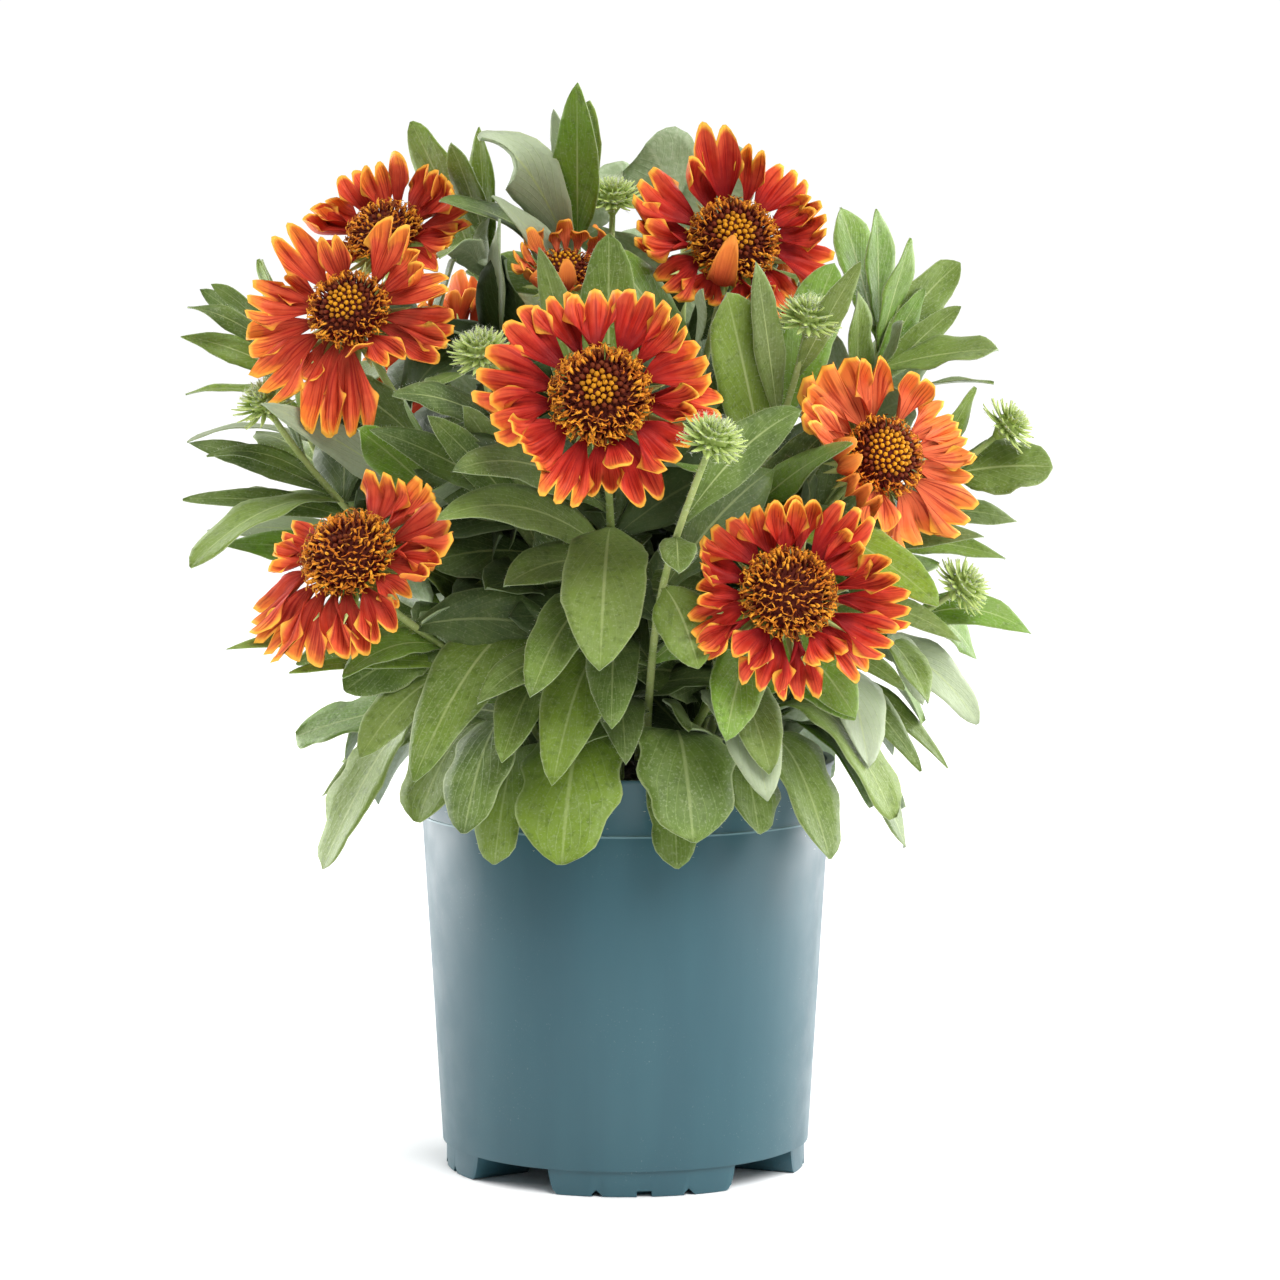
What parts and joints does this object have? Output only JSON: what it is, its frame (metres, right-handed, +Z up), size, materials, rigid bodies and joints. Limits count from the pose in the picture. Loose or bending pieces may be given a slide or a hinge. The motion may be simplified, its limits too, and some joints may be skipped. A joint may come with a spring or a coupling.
{
  "type": "potted flowering plant",
  "caption": "Blanket flower plant with fluted red and orange blooms, spiky green buds and grey-green leaves, growing in a teal blue plastic nursery pot.",
  "frame": {"origin": "centre of the pot's foot circle, on the surface it stands on", "axes": "+Z up, -Y towards the front of the plant, where most blooms face"},
  "size_m": [0.346, 0.339, 0.435],
  "materials": {
    "pot": "satin moulded plastic",
    "soil": "loose damp bark and peat mix",
    "foliage": "matt, downy",
    "basal_foliage": "matt, downy",
    "rays": "soft petal",
    "disc": "soft florets"
  },
  "bodies": {
    "root": {"pot": "pot", "potting_mix": "soil", "stem_1": "foliage", "stem_2": "foliage", "stem_3": "foliage", "stem_4": "foliage", "stem_5": "foliage", "stem_6": "foliage", "stem_7": "foliage", "stem_8": "foliage", "stem_9": "foliage", "stem_10": "foliage", "stem_11": "foliage", "bud_a": "foliage", "bud_b": "foliage", "bud_c": "foliage", "bud_d": "foliage", "bud_e": "foliage", "bud_f": "foliage", "bud_g": "foliage", "bud_h": "foliage", "bud_i": "foliage", "shoot_1": "foliage", "shoot_2": "foliage", "shoot_3": "foliage", "shoot_4": "foliage", "shoot_5": "foliage", "shoot_6": "foliage", "tuft_1": "basal_foliage", "tuft_2": "basal_foliage", "tuft_3": "basal_foliage", "tuft_4": "basal_foliage", "tuft_5": "basal_foliage", "tuft_6": "basal_foliage", "tuft_7": "basal_foliage", "tuft_8": "basal_foliage", "tuft_9": "basal_foliage", "rays_1": "rays", "rays_2": "rays", "rays_3": "rays", "rays_4": "rays", "rays_5": "rays", "rays_6": "rays", "rays_7": "rays", "rays_8": "rays", "rays_9": "rays", "rays_10": "rays", "rays_11": "rays", "disc_1": "disc", "disc_2": "disc", "disc_3": "disc", "disc_4": "disc", "disc_5": "disc", "disc_6": "disc", "disc_7": "disc", "disc_8": "disc", "disc_9": "disc", "disc_10": "disc", "disc_11": "disc"}
  },
  "joints": []
}
